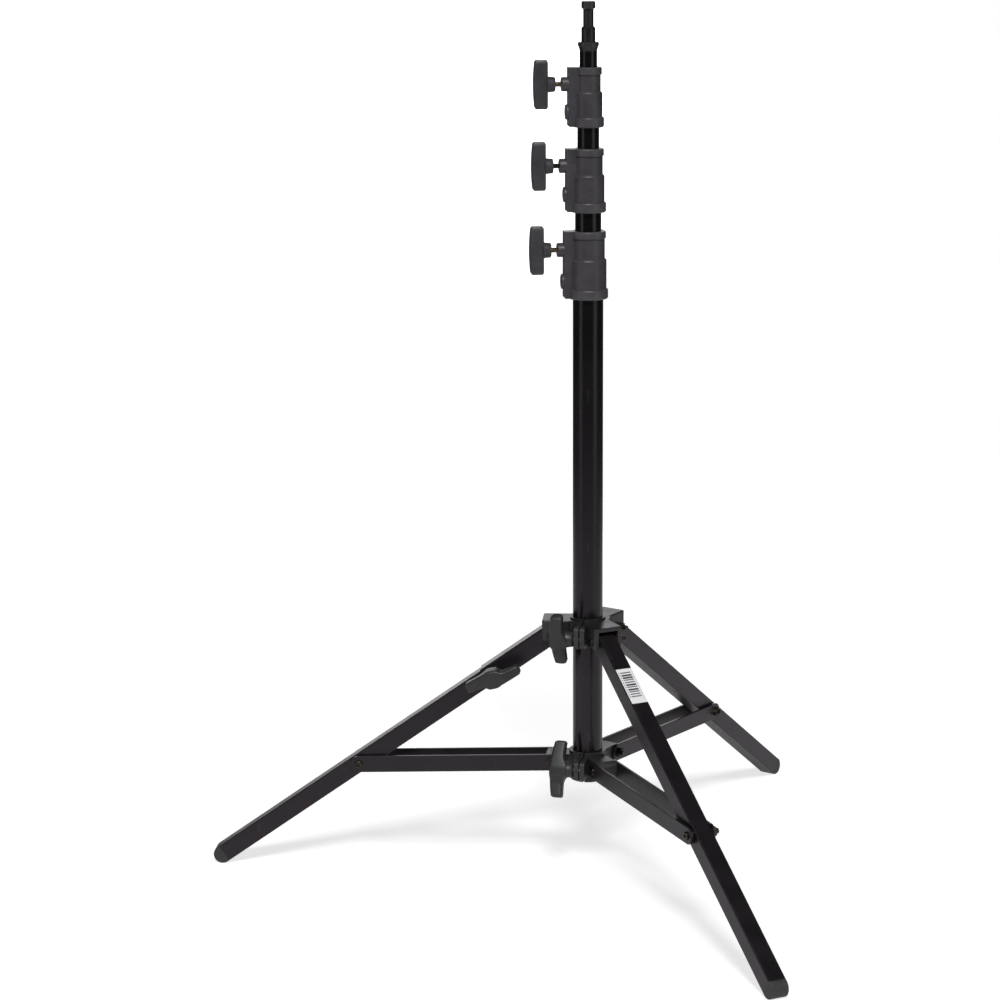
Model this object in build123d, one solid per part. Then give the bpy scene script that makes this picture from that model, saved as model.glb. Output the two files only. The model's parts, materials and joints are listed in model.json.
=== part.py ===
from build123d import *

import math
import os

# A folding light stand: a fixed base tube with three telescoping risers, a 16 mm stud on top,
# two hubs that slide on the base tube, three square legs and three pairs of flat brace bars.
# Origin: on the column's axis at floor level. +Z is up. All sizes are in millimetres.
# The leveling leg points along -X; angles are measured from +X, counter-clockwise from above.

# --- column ------------------------------------------------------------
TUBE_RADII = [17.5, 15.0, 12.5, 10.0]  # base tube, then risers 1 to 3
TUBE_WALL = [1.5, 1.25, 1.25, 1.25]
TUBE_BOTTOMS = [116.0, 150.0, 165.0, 180.0]
RUNNING_GAP = 0.05  # radial clearance of a sliding or turning fit
GLIDE_HEIGHT = 28.0
RISER_3_TOP = 973.0

# --- stud on the top riser ------------------------------------------------------------
STUD_TOP = 1028.8
STUD_RADIUS = 8.0
STUD_NECK_RADIUS = 6.0
STUD_HEAD_HEIGHT = 8.2
STUD_NECK_HEIGHT = 20.4
STUD_BODY_HEIGHT = 16.8
STUD_FLANGE_RADIUS = 12.0
STUD_FLANGE_HEIGHT = 4.6
STUD_SPIGOT_DEPTH = 30.0

# --- collars: name, tube number, bottom, top -------------------------------------------------
COLLARS = [("lower", 0, 692.3, 770.0), ("middle", 1, 791.7, 864.0), ("upper", 2, 888.1, 955.5)]
COLLAR_SPINE_ANGLE = 192.0
COLLAR_SHOULDER = 0.58  # height of the step between the two bores, as a share of the collar
COLLAR_BASE_RING = 11.0
COLLAR_TOP_RING = 8.3
SPINE_WIDTH = 16.0
SPINE_REACH = 11.1  # from the wider tube's surface to the spine's face
BOSS_RADIUS = 8.2
BOSS_REACH = 7.4
BOSS_BELOW_TOP = [21.5, 19.5, 19.0]
BUTTON_ABOVE_BOTTOM = [20.0, 20.2, 17.2]
BUTTON_RADIUS = 8.8
BUTTON_HEIGHT = 2.8

# --- T-knobs on the collars -------------------------------------------------------------------
SCREW_RADIUS = 3.0
KNOB_GAP = 14.6  # from the spine's face to the knob's hub
KNOB_HUB_LENGTH = 8.4
KNOB_BAR_THICKNESS = 15.4
KNOB_BAR_LENGTH = 55.0
KNOB_BAR_WIDTH = 13.0
PAD_RADIUS = 4.0
PAD_THICKNESS = 3.0
PAD_CLEARANCE = 0.15  # from the loosened pad to the riser

# --- hubs ------------------------------------------------------------
LEG_ANGLES = {"leveling": 180.0, "front": 300.0, "back": 60.0}
NEAR_SIDE = {"leveling": 1, "front": -1, "back": 1}  # side of each leg that the bolt heads are on
UPPER_PIVOT = (42.5, 294.0)
UPPER_HUB_TOP = 312.5
UPPER_HUB_BOTTOM = 288.5
HUB_PLATE = 4.5
HUB_REACH = 53.0
HUB_RING_RADIUS = 23.0
CHEEK_INNER = 12.4
CHEEK_OUTER = 17.8
LOWER_PIVOT = (43.8, 137.5)
LOWER_HUB_TOP = 151.0
LOWER_HUB_BOTTOM = 115.5
LOWER_RING_RADIUS = 21.6
LUG_HALF_WIDTH = 12.5
LUG_HEIGHT = 20.0
LUG_REACH = 51.5
EAR_ANGLE = 260.5
EAR_SCREW_OUT = 39.5  # from the column's axis to the clamp screw
EAR_REACH = 47.5
EAR_THICKNESS = 5.5
EAR_SLIT = 1.6
UPPER_EAR_HEIGHT = 26.0
UPPER_EAR_RAISE = 3.0  # middle of the upper hub's ears above their screw
LOWER_EAR_HEIGHT = 23.0
UPPER_SCREW_Z = 295.5
LOWER_SCREW_Z = 136.0
UPPER_HANDLE_TURN = -22.0
LOWER_HANDLE_TURN = 29.0
LEG_HANDLE_TURN = 77.0

# --- T-handles on the hubs and on the leveling leg ------------------------------------------------
HANDLE_HALF_LENGTH = 33.5
HANDLE_NECK_START = 2.0
HANDLE_WING_START = 13.0
HANDLE_BOW = 29.6
HANDLE_TIP = 25.8
HANDLE_HUB_RADIUS = 10.8
HANDLE_WING_HALF_WIDTH = 5.6
HANDLE_WING_OFFSET = 3.2
HANDLE_HOLE_DEPTH = 12.0

# --- legs and braces ------------------------------------------------------------
FOOT_RADIUS_OUT = 441.7  # from the column's axis to the foot's round end
LEG_SIDE = 21.5
LEG_WALL = 1.5
LEG_CORNER = 1.6
LEG_TOP_END = -6.0  # along the leg, from the upper pivot
BRACE_ALONG_LEG = 282.4
CAP_SHOULDER = 3.0  # straight part of the cap beyond the tube's end
CAP_INSERT = 22.0
SLEEVE_SIDE = 24.1
SLEEVE_WALL = 1.2
SLEEVE_END = 95.0
INNER_LEG_START = 15.0
LEVEL_SCREW_ALONG = 82.0
SLEEVE_BOSS = 5.0
BAR_INNER = 12.8
BAR_THICKNESS = 3.0
BAR_HEIGHT = 20.0
BOLT_HEAD_RADIUS = 4.7
BOLT_HEAD_HEIGHT = 2.6
HUB_HEAD_HEIGHT = 1.6
NUT_RADIUS = 5.6
NUT_HEIGHT = 5.0
UPPER_BOLT_TAIL = 5.0  # bolt beyond its nut
LOWER_BOLT_TAIL = 2.0
BRACE_BOLT_TAIL = 3.0
BUSHING_RADIUS = 5.0
LABEL_ALONG = (51.5, 102.5)
LABEL_MARGIN = 0.6
LABEL_THICKNESS = 0.15

FOOT_CENTRE = (FOOT_RADIUS_OUT, LEG_SIDE / 2)
LEG_LENGTH = math.hypot(FOOT_CENTRE[0] - UPPER_PIVOT[0], FOOT_CENTRE[1] - UPPER_PIVOT[1])
LEG_SLOPE = math.degrees(math.atan2(UPPER_PIVOT[1] - FOOT_CENTRE[1], FOOT_CENTRE[0] - UPPER_PIVOT[0]))
LEG_PIVOT = (
    UPPER_PIVOT[0] + BRACE_ALONG_LEG * math.cos(math.radians(LEG_SLOPE)),
    UPPER_PIVOT[1] - BRACE_ALONG_LEG * math.sin(math.radians(LEG_SLOPE)),
)
BRACE_LENGTH = math.hypot(LEG_PIVOT[0] - LOWER_PIVOT[0], LEG_PIVOT[1] - LOWER_PIVOT[1])
BRACE_SLOPE = math.degrees(math.atan2(LOWER_PIVOT[1] - LEG_PIVOT[1], LEG_PIVOT[0] - LOWER_PIVOT[0]))


def save(shape, name):
    """Writes one sub-part to its own STEP file."""
    export_step(shape, f"parts/{name}.step")


def rod(radius, length, start=(0, 0, 0), along="x"):
    """A plain cylinder of a given length, from a start point along +x, +y or +z."""
    turn = {"x": (0, 90, 0), "y": (-90, 0, 0), "z": (0, 0, 0)}[along]
    shape = Cylinder(radius, length, align=(Align.CENTER, Align.CENTER, Align.MIN))
    return Pos(*start) * Rot(*turn) * shape


def cross_hole(radius, along, height=0.0):
    """A cylinder right across the part, parallel to y, to cut a bolt's hole."""
    return rod(radius, 2 * HUB_REACH, (along, -HUB_REACH, height), "y")


def block(x, y, z):
    """A box given by its lowest and highest value on each axis."""
    size = (x[1] - x[0], y[1] - y[0], z[1] - z[0])
    centre = ((x[0] + x[1]) / 2, (y[0] + y[1]) / 2, (z[0] + z[1]) / 2)
    return Pos(*centre) * Box(*size)


def pipe(outer, inner, bottom, top):
    """A round tube about the column's axis."""
    return rod(outer, top - bottom, (0, 0, bottom), "z") - rod(inner, top - bottom, (0, 0, bottom), "z")


def turned(shape, angle):
    """Turns a shape about the column's axis."""
    return Rot(0, 0, angle) * shape


def hexagon(radius, length, start, along="y"):
    """A hexagonal prism, such as a nut, from a start point along +x or +y."""
    prism = extrude(RegularPolygon(radius, 6), length)
    turn = {"x": (0, 90, 0), "y": (-90, 0, 0)}[along]
    return Pos(*start) * Rot(*turn) * prism


# --- column ------------------------------------------------------------
def shoulder_height(number):
    """Height of the collar's inner shoulder, where a tube ends."""
    bottom, top = COLLARS[number][2:]
    return bottom + (top - bottom) * COLLAR_SHOULDER


def column_tube(number):
    """The base tube (0) or one riser (1 to 3)."""
    top = shoulder_height(number) if number < 3 else RISER_3_TOP
    outer = TUBE_RADII[number]
    return pipe(outer, outer - TUBE_WALL[number], TUBE_BOTTOMS[number], top)


def riser_glide(number):
    """Plastic guide sleeve on a riser's lower end: a collar that runs in the tube outside it."""
    bore = TUBE_RADII[number - 1] - TUBE_WALL[number - 1]
    bottom = TUBE_BOTTOMS[number]
    inner = TUBE_RADII[number]
    sleeve = pipe(bore - RUNNING_GAP, inner, bottom, bottom + GLIDE_HEIGHT)
    lip = pipe(bore - RUNNING_GAP, inner - TUBE_WALL[number], bottom - 2.0, bottom)
    return sleeve + lip


def base_plug():
    """Plastic plug in the base tube's lower end, with a drain hole."""
    bore = TUBE_RADII[0] - TUBE_WALL[0]
    bottom = TUBE_BOTTOMS[0]
    disc = pipe(bore, 4.0, bottom + 1.0, bottom + 4.0)
    skirt = pipe(bore, bore - 2.0, bottom + 4.0, bottom + 16.0)
    return disc + skirt


def stud():
    """Turned stud: head, neck, body and flange, with a spigot inside the top riser."""
    head_base = STUD_TOP - STUD_HEAD_HEIGHT
    neck_base = head_base - STUD_NECK_HEIGHT
    body_base = neck_base - STUD_BODY_HEIGHT
    flange_base = body_base - STUD_FLANGE_HEIGHT
    spigot = TUBE_RADII[3] - TUBE_WALL[3]
    outline = [
        (0, RISER_3_TOP - STUD_SPIGOT_DEPTH),
        (spigot, RISER_3_TOP - STUD_SPIGOT_DEPTH),
        (spigot, RISER_3_TOP),
        (TUBE_RADII[3], RISER_3_TOP),
        (TUBE_RADII[3], RISER_3_TOP + 1.5),
        (STUD_FLANGE_RADIUS - 0.6, flange_base),
        (STUD_FLANGE_RADIUS, flange_base + 0.8),
        (STUD_FLANGE_RADIUS, body_base - 0.8),
        (STUD_FLANGE_RADIUS - 0.8, body_base),
        (STUD_RADIUS, body_base),
        (STUD_RADIUS, neck_base - 1.0),
        (STUD_NECK_RADIUS, neck_base + 0.8),
        (STUD_NECK_RADIUS, head_base - 0.8),
        (STUD_RADIUS, head_base + 0.6),
        (STUD_RADIUS, STUD_TOP - 1.0),
        (STUD_RADIUS - 1.0, STUD_TOP),
        (0, STUD_TOP),
    ]
    face = make_face(Plane.XZ * Polyline(*outline, close=True))
    return revolve(face, Axis.Z)


def spine_face(number):
    """Distance of a collar's spine face from the column's axis."""
    return TUBE_RADII[number] + SPINE_REACH


def boss_height(number):
    """Height of a collar's knob screw."""
    return COLLARS[number][3] - BOSS_BELOW_TOP[number]


def button_height(number):
    """Height of the screw that locks a collar to its tube."""
    return COLLARS[number][2] + BUTTON_ABOVE_BOTTOM[number]


def collar(number):
    """Die-cast collar: stepped rings, a flat-sided spine with the knob's boss, and two bores."""
    bottom, top = COLLARS[number][2:]
    wide = TUBE_RADII[number]
    narrow = TUBE_RADII[number + 1]
    shoulder = shoulder_height(number)
    outline = [
        (0, bottom),
        (wide + 4.5, bottom),
        (wide + 5.5, bottom + 1.2),
        (wide + 5.5, bottom + COLLAR_BASE_RING - 1.0),
        (wide + 4.8, bottom + COLLAR_BASE_RING),
        (wide + 3.6, bottom + COLLAR_BASE_RING + 0.6),
        (wide + 3.6, shoulder - 1.0),
        (wide + 2.9, shoulder),
        (narrow + 4.1, shoulder + 1.2),
        (narrow + 4.1, top - COLLAR_TOP_RING - 0.4),
        (narrow + 5.4, top - COLLAR_TOP_RING + 0.4),
        (narrow + 5.4, top - 1.2),
        (narrow + 4.4, top),
        (0, top),
    ]
    rings = revolve(make_face(Plane.XZ * Polyline(*outline, close=True)), Axis.Z)
    face = spine_face(number)
    spine = block((0, face), (-SPINE_WIDTH / 2, SPINE_WIDTH / 2), (bottom + 0.8, top))
    spine = chamfer(spine.edges().group_by(Axis.Z)[0].sort_by(Axis.X)[-1:], 1.4)
    outer_edges = spine.edges().filter_by(Axis.Z).sort_by(Axis.X)[-2:]
    spine = fillet(outer_edges, 1.6)
    boss = rod(BOSS_RADIUS, face + BOSS_REACH, (0, 0, boss_height(number)))
    boss = chamfer(boss.edges().sort_by(Axis.X)[-1], 0.8)
    body = rings + spine + boss
    body -= rod(narrow + RUNNING_GAP, top - bottom + 2, (0, 0, bottom - 1), "z")
    body -= rod(wide, shoulder - bottom + 1, (0, 0, bottom - 1), "z")
    body -= rod(SCREW_RADIUS + RUNNING_GAP, face + BOSS_REACH + 1, (0, 0, boss_height(number)))
    pad_bore = PAD_RADIUS + RUNNING_GAP
    body -= rod(pad_bore, narrow + 4.2, (0, 0, boss_height(number)))
    body -= rod(SCREW_RADIUS, face + 1, (0, 0, button_height(number)))
    return turned(body, COLLAR_SPINE_ANGLE)


def collar_screw(number):
    """Round-headed screw that locks a collar to the tube it sits on, with a hex socket."""
    face = spine_face(number)
    height = button_height(number)
    head = rod(BUTTON_RADIUS, BUTTON_HEIGHT, (face, 0, height))
    head = fillet(head.edges().sort_by(Axis.X)[-1], 1.4)
    shank_start = TUBE_RADII[number]
    shank = rod(SCREW_RADIUS, face - shank_start, (shank_start, 0, height))
    socket = hexagon(2.3, 2.0, (face + BUTTON_HEIGHT - 1.8, 0, height), "x")
    return turned(head + shank - socket, COLLAR_SPINE_ANGLE)


def knob(number):
    """T-knob: a short wing bar with a bowed face on a round hub, moulded on its screw."""
    face = spine_face(number)
    height = boss_height(number)
    start = face + KNOB_GAP
    bar_start = start + KNOB_HUB_LENGTH
    bar_end = bar_start + KNOB_BAR_THICKNESS
    half = KNOB_BAR_LENGTH / 2
    side = Line((bar_start, -half), (bar_start, half))
    low_end = Line((bar_start, -half), (bar_end - 0.8, -half))
    high_end = Line((bar_start, half), (bar_end - 0.8, half))
    bow = ThreePointArc((bar_end - 0.8, -half), (bar_end + 0.8, 0), (bar_end - 0.8, half))
    profile = make_face(Plane.XZ * (side + low_end + bow + high_end))
    bar = extrude(profile, KNOB_BAR_WIDTH / 2, both=True)
    bar = fillet(bar.edges().filter_by(Axis.Y), 1.6)
    bar = Pos(0, 0, height) * bar
    hub = Pos((start + bar_start) / 2 + 0.5, 0, height) * Rot(0, 90, 0) * Cone(
        8.4, 9.4, KNOB_HUB_LENGTH + 1.0
    )
    body = bar + hub - rod(SCREW_RADIUS, KNOB_HUB_LENGTH + 4, (start - 1, 0, height))
    return turned(body, COLLAR_SPINE_ANGLE)


def knob_screw(number):
    """Zinc-plated clamping screw, from inside the knob to the pressure pad."""
    face = spine_face(number)
    end = face + KNOB_GAP + KNOB_HUB_LENGTH + 3.0
    start = TUBE_RADII[number + 1] + PAD_CLEARANCE + PAD_THICKNESS
    screw = rod(SCREW_RADIUS, end - start, (start, 0, boss_height(number)))
    return turned(screw, COLLAR_SPINE_ANGLE)


def pressure_pad(number):
    """Brass pad that the screw presses on the riser. Its face is hollowed to the riser's curve."""
    hollow = TUBE_RADII[number + 1] + PAD_CLEARANCE
    height = boss_height(number)
    pad = rod(PAD_RADIUS, hollow + PAD_THICKNESS, (0, 0, height))
    pad -= rod(hollow, 2 * PAD_RADIUS + 4, (0, 0, height - PAD_RADIUS - 2), "z")
    return turned(pad, COLLAR_SPINE_ANGLE)


# --- T-handles 
def handle_body():
    """T-handle about the x axis: it clamps against x = 0 and its wings run along z."""
    half = HANDLE_HALF_LENGTH
    bow = ThreePointArc((HANDLE_TIP, -half), (HANDLE_BOW, 0), (HANDLE_TIP, half))
    inner = [
        (HANDLE_TIP, half),
        (HANDLE_WING_START - 0.8, half),
        (HANDLE_WING_START, half - 5),
        (HANDLE_WING_START, 15),
    ]
    upper = Polyline(*inner)
    lower = Polyline(*[(x, -z) for x, z in inner])
    throat = HANDLE_WING_START - 4.5
    upper_curve = TangentArc((HANDLE_WING_START, 15), (throat, 9.5), tangent=(0, -1))
    lower_curve = TangentArc((HANDLE_WING_START, -15), (throat, -9.5), tangent=(0, 1))
    neck = Polyline(
        (throat, 9.5),
        (HANDLE_NECK_START, 8.5),
        (HANDLE_NECK_START, -8.5),
        (throat, -9.5),
    )
    side = make_face(Plane.XZ * (bow + upper + upper_curve + neck + lower_curve + lower))
    side = extrude(side, 2 * HANDLE_HUB_RADIUS, both=True)
    wing = RectangleRounded(2 * HANDLE_WING_HALF_WIDTH, half + 6, 3.0)
    tilt = math.degrees(math.atan2(HANDLE_WING_OFFSET, half / 2))
    front = Circle(HANDLE_HUB_RADIUS)
    front += Pos(HANDLE_WING_OFFSET * 0.6, half / 2 - 3) * Rot(0, 0, -tilt * 0.4) * wing
    front += Pos(-HANDLE_WING_OFFSET * 0.6, -half / 2 + 3) * Rot(0, 0, -tilt * 0.4) * wing
    front = extrude(Plane.YZ * front, HANDLE_BOW + 2)
    hole = rod(SCREW_RADIUS, HANDLE_HOLE_DEPTH, (HANDLE_NECK_START - 1, 0, 0))
    return (side & front) - hole


def hub_handle(height, turn):
    """A T-handle on a hub's clamp ears, and the screw that it carries."""
    handle = Rot(turn, 0, 0) * handle_body()
    screw_start = -(2 * EAR_THICKNESS + EAR_SLIT)
    screw_end = HANDLE_NECK_START - 1 + HANDLE_HOLE_DEPTH
    screw = rod(SCREW_RADIUS, screw_end - screw_start, (screw_start, 0, 0))
    place = (
        Rot(0, 0, EAR_ANGLE)
        * Pos(EAR_SCREW_OUT, -(EAR_THICKNESS + EAR_SLIT / 2), height)
        * Rot(0, 0, -90)
    )
    return place * handle, place * screw


def leg_handle():
    """The leveling leg's T-handle and screw, on the boss on the sleeve's near side."""
    handle = Rot(LEG_HANDLE_TURN, 0, 0) * handle_body()
    start = SLEEVE_SIDE / 2 + SLEEVE_BOSS
    screw_start = LEG_SIDE / 2 + PAD_CLEARANCE - start
    screw_end = HANDLE_NECK_START - 1 + HANDLE_HOLE_DEPTH
    screw = rod(SCREW_RADIUS, screw_end - screw_start, (screw_start, 0, 0))
    place = Pos(LEVEL_SCREW_ALONG, start, 0) * Rot(0, 0, 90)
    return in_leg_frame(place * handle, "leveling"), in_leg_frame(place * screw, "leveling")


# --- hubs ------------------------------------------------------------
def clamp_ears(ring_radius, middle, height):
    """The two ears of a hub's clamp as one block along +x, before the slit is cut."""
    reach = EAR_SLIT / 2 + EAR_THICKNESS
    low = middle - height / 2
    ears = block((ring_radius - 5, EAR_REACH), (-reach, reach), (low, low + height))
    return fillet(ears.edges().filter_by(Axis.Y).sort_by(Axis.X)[-2:], 5.0)


def cut_ears(body, height):
    """Cuts the slit, the screw hole and the nut pocket of a hub's clamp."""
    reach = EAR_SLIT / 2 + EAR_THICKNESS
    slit = block((10, EAR_REACH + 1), (-EAR_SLIT / 2, EAR_SLIT / 2), (height - 60, height + 60))
    hole = rod(SCREW_RADIUS + RUNNING_GAP, 2 * reach + 2, (EAR_SCREW_OUT, -reach - 1, height), "y")
    pocket = hexagon(NUT_RADIUS + 0.2, 4.0, (EAR_SCREW_OUT, EAR_SLIT / 2, height))
    return body - turned(slit, EAR_ANGLE) - turned(hole, EAR_ANGLE) - turned(pocket, EAR_ANGLE)


def clamp_nut(height):
    """Captive nut in the far ear."""
    nut = hexagon(NUT_RADIUS, 3.6, (EAR_SCREW_OUT, EAR_SLIT / 2 + 0.2, height))
    nut -= rod(SCREW_RADIUS + RUNNING_GAP, 8, (EAR_SCREW_OUT, -2, height), "y")
    return turned(nut, EAR_ANGLE)


def upper_hub():
    """Three inverted channels round a split ring: each channel straddles the top of one leg."""
    plate_bottom = UPPER_HUB_TOP - HUB_PLATE
    outline = Circle(HUB_RING_RADIUS + 4)
    arm = Rectangle(HUB_REACH, 2 * CHEEK_OUTER, align=(Align.MIN, Align.CENTER))
    for angle in LEG_ANGLES.values():
        outline += Rot(0, 0, angle) * arm
    inner_corners = [v for v in outline.vertices() if math.hypot(v.X, v.Y) < HUB_REACH - 8]
    outline = fillet(inner_corners, 6.0)
    end_corners = [v for v in outline.vertices() if math.hypot(v.X, v.Y) > HUB_REACH]
    outline = fillet(end_corners, 2.5)
    body = extrude(Pos(0, 0, UPPER_HUB_BOTTOM) * outline, UPPER_HUB_TOP - UPPER_HUB_BOTTOM)
    top_edges = body.faces().sort_by(Axis.Z)[-1].edges()
    body = fillet(top_edges, 1.4)
    body += pipe(HUB_RING_RADIUS, TUBE_RADII[0], UPPER_HUB_BOTTOM - 2.5, UPPER_HUB_TOP)
    body += pipe(TUBE_RADII[0] + 3.2, TUBE_RADII[0], UPPER_HUB_TOP, UPPER_HUB_TOP + 2.0)
    ear_middle = UPPER_SCREW_Z + UPPER_EAR_RAISE
    body += turned(clamp_ears(HUB_RING_RADIUS, ear_middle, UPPER_EAR_HEIGHT), EAR_ANGLE)
    for angle in LEG_ANGLES.values():
        channel = block(
            (HUB_RING_RADIUS + 0.5, HUB_REACH + 5),
            (-CHEEK_INNER, CHEEK_INNER),
            (UPPER_HUB_BOTTOM - 10, plate_bottom),
        )
        hole = cross_hole(SCREW_RADIUS, *UPPER_PIVOT)
        body -= turned(channel + hole, angle)
    body -= rod(TUBE_RADII[0] + RUNNING_GAP, 60, (0, 0, UPPER_HUB_BOTTOM - 20), "z")
    return cut_ears(body, UPPER_SCREW_Z)


def lower_hub():
    """Split ring with three solid lugs: each pair of brace bars straddles one lug."""
    body = pipe(LOWER_RING_RADIUS, TUBE_RADII[0], LOWER_HUB_BOTTOM, LOWER_HUB_TOP)
    body = chamfer(body.edges().sort_by(Axis.Z)[0], 1.0)
    low = LOWER_PIVOT[1] - LUG_HEIGHT / 2
    for angle in LEG_ANGLES.values():
        lug = block((0, LUG_REACH), (-LUG_HALF_WIDTH, LUG_HALF_WIDTH), (low, low + LUG_HEIGHT))
        ends = lug.edges().filter_by(Axis.Y).sort_by(Axis.X)[-2:]
        lug = fillet(ends, 7.0)
        lug -= cross_hole(SCREW_RADIUS, *LOWER_PIVOT)
        body += turned(lug, angle)
    ears = clamp_ears(LOWER_RING_RADIUS, LOWER_SCREW_Z, LOWER_EAR_HEIGHT)
    body += turned(ears, EAR_ANGLE)
    bar_sweep = LUG_REACH + 2 * BAR_HEIGHT
    bar_side = BAR_INNER + BAR_THICKNESS + 0.4
    bars = block(
        (LOWER_PIVOT[0] - BAR_HEIGHT / 2 - 0.6, bar_sweep),
        (-bar_side, bar_side),
        (low - 5, LOWER_HUB_TOP + 5),
    )
    bars -= block((0, bar_sweep + 1), (-LUG_HALF_WIDTH, LUG_HALF_WIDTH), (0, LOWER_HUB_TOP + 10))
    for angle in LEG_ANGLES.values():
        body -= turned(bars, angle)
    body -= rod(TUBE_RADII[0] + RUNNING_GAP, 60, (0, 0, LOWER_HUB_BOTTOM - 10), "z")
    return cut_ears(body, LOWER_SCREW_Z)


def bolt_head(radius, height, start, outward):
    """Domed socket head on one side of a leg: its flat side is at start, outward is +1 or -1."""
    head = rod(radius, height, (0, 0, 0), "y")
    head = fillet(head.edges().sort_by(Axis.Y)[-1], height * 0.45)
    head -= hexagon(2.4, height, (0, height * 0.4, 0))
    if outward < 0:
        head = Rot(0, 0, 180) * head
    return Pos(*start) * head


def pivot_bolts(pivot, half_width, past_nut):
    """The three bolts of one hub, each with its head on the leg's near side."""
    bolts = []
    tail = NUT_HEIGHT + past_nut
    for leg, angle in LEG_ANGLES.items():
        side = NEAR_SIDE[leg]
        start = -half_width - (tail if side > 0 else 0)
        shank = rod(SCREW_RADIUS, 2 * half_width + tail, (pivot[0], start, pivot[1]), "y")
        seat = (pivot[0], side * half_width, pivot[1])
        head = bolt_head(BOLT_HEAD_RADIUS, HUB_HEAD_HEIGHT, seat, side)
        bolts.append(turned(shank + head, angle))
    return Compound(children=bolts)


def pivot_nuts(pivot, half_width):
    """The three lock nuts of one hub, on the far side of each leg from the bolt's head."""
    nuts = []
    for leg, angle in LEG_ANGLES.items():
        side = -NEAR_SIDE[leg]
        start = half_width if side > 0 else -half_width - NUT_HEIGHT
        nut = hexagon(NUT_RADIUS, NUT_HEIGHT, (pivot[0], start, pivot[1]))
        nut -= rod(SCREW_RADIUS, NUT_HEIGHT + 2, (pivot[0], start - 1, pivot[1]), "y")
        nuts.append(turned(nut, angle))
    return Compound(children=nuts)


def pivot_washers():
    """Plastic washers that centre the two plain legs between their cheeks."""
    washers = []
    for leg in ("front", "back"):
        for side in (-1, 1):
            inner = LEG_SIDE / 2 + 0.1
            start = inner if side > 0 else -CHEEK_INNER
            ring = rod(7.0, CHEEK_INNER - inner, (UPPER_PIVOT[0], start, UPPER_PIVOT[1]), "y")
            ring -= cross_hole(SCREW_RADIUS, *UPPER_PIVOT)
            washers.append(turned(ring, LEG_ANGLES[leg]))
    return Compound(children=washers)


# --- legs ------------------------------------------------------------
def in_leg_frame(shape, leg):
    """Puts a shape built along +x from the upper pivot onto one leg."""
    pivot = Pos(UPPER_PIVOT[0], 0, UPPER_PIVOT[1])
    return Rot(0, 0, LEG_ANGLES[leg]) * pivot * Rot(0, LEG_SLOPE, 0) * shape


def square_tube(side, wall, start, end, corner):
    """A square tube along +x with rounded corners."""
    outer = RectangleRounded(side, side, corner)
    inner = RectangleRounded(side - 2 * wall, side - 2 * wall, max(corner - wall, 0.4))
    return Pos(start, 0, 0) * extrude(Plane.YZ * (outer - inner), end - start)


def leg_tube(leg):
    """One leg, from its upper end to the foot cap, with cross holes for its bolts."""
    start = INNER_LEG_START if leg == "leveling" else LEG_TOP_END
    tube = square_tube(LEG_SIDE, LEG_WALL, start, LEG_LENGTH - CAP_SHOULDER, LEG_CORNER)
    if leg != "leveling":
        tube -= cross_hole(SCREW_RADIUS + RUNNING_GAP, 0)
    tube -= cross_hole(BUSHING_RADIUS, BRACE_ALONG_LEG)
    return in_leg_frame(tube, leg)


def leveling_sleeve():
    """Outer sleeve of the leveling leg, with the boss of its clamp screw."""
    tube = square_tube(SLEEVE_SIDE, SLEEVE_WALL, LEG_TOP_END, SLEEVE_END, 2.4)
    mid_wall = (SLEEVE_SIDE - SLEEVE_WALL) / 2
    tube += rod(9.0, SLEEVE_BOSS + SLEEVE_WALL / 2, (LEVEL_SCREW_ALONG, mid_wall, 0), "y")
    tube -= rod(SCREW_RADIUS + RUNNING_GAP, 30, (LEVEL_SCREW_ALONG, 5, 0), "y")
    tube -= cross_hole(SCREW_RADIUS + RUNNING_GAP, 0)
    return in_leg_frame(tube, "leveling")


def foot_cap(leg):
    """Moulded foot: a half-round end that closes the leg, with a plug inside the tube."""
    half = LEG_SIDE / 2
    shoulder = LEG_LENGTH - CAP_SHOULDER
    end = rod(half, LEG_SIDE, (LEG_LENGTH, -half, 0), "y")
    end &= block((LEG_LENGTH, LEG_LENGTH + half), (-half, half), (-half, half))
    end += block((shoulder, LEG_LENGTH), (-half, half), (-half, half))
    along_edges = end.edges().filter_by(Axis.X)
    round_edges = end.edges().filter_by(GeomType.CIRCLE)
    end = fillet(along_edges + round_edges, 1.4)
    inner = half - LEG_WALL
    plug = block((shoulder - CAP_INSERT, shoulder), (-inner, inner), (-inner, inner))
    plug = fillet(plug.edges().filter_by(Axis.X), 0.4)
    return in_leg_frame(end + plug, leg)


def leg_bushing(leg):
    """Steel bush across a leg for the brace's bolt, with a spacer ring on each side."""
    half = LEG_SIDE / 2
    bush = rod(BUSHING_RADIUS, 2 * BAR_INNER - 0.4, (BRACE_ALONG_LEG, -BAR_INNER + 0.2, 0), "y")
    bush -= cross_hole(SCREW_RADIUS, BRACE_ALONG_LEG)
    spacers = []
    for start in (half, -BAR_INNER + 0.2):
        ring = rod(8.0, BAR_INNER - 0.2 - half, (BRACE_ALONG_LEG, start, 0), "y")
        ring -= cross_hole(BUSHING_RADIUS, BRACE_ALONG_LEG)
        spacers.append(in_leg_frame(ring, leg))
    return Compound(children=[in_leg_frame(bush, leg)] + spacers)


def barcode_label():
    """Paper label on the front leg's outer face."""
    face = LEG_SIDE / 2
    edge = face - LABEL_MARGIN
    sheet = block(LABEL_ALONG, (-edge, edge), (face, face + LABEL_THICKNESS))
    return in_leg_frame(sheet, "front")


# --- braces ------------------------------------------------------------
def in_brace_frame(shape, leg):
    """Puts a shape built along +x from the lower hub's pivot onto one brace."""
    pivot = Pos(LOWER_PIVOT[0], 0, LOWER_PIVOT[1])
    return Rot(0, 0, LEG_ANGLES[leg]) * pivot * Rot(0, BRACE_SLOPE, 0) * shape


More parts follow.
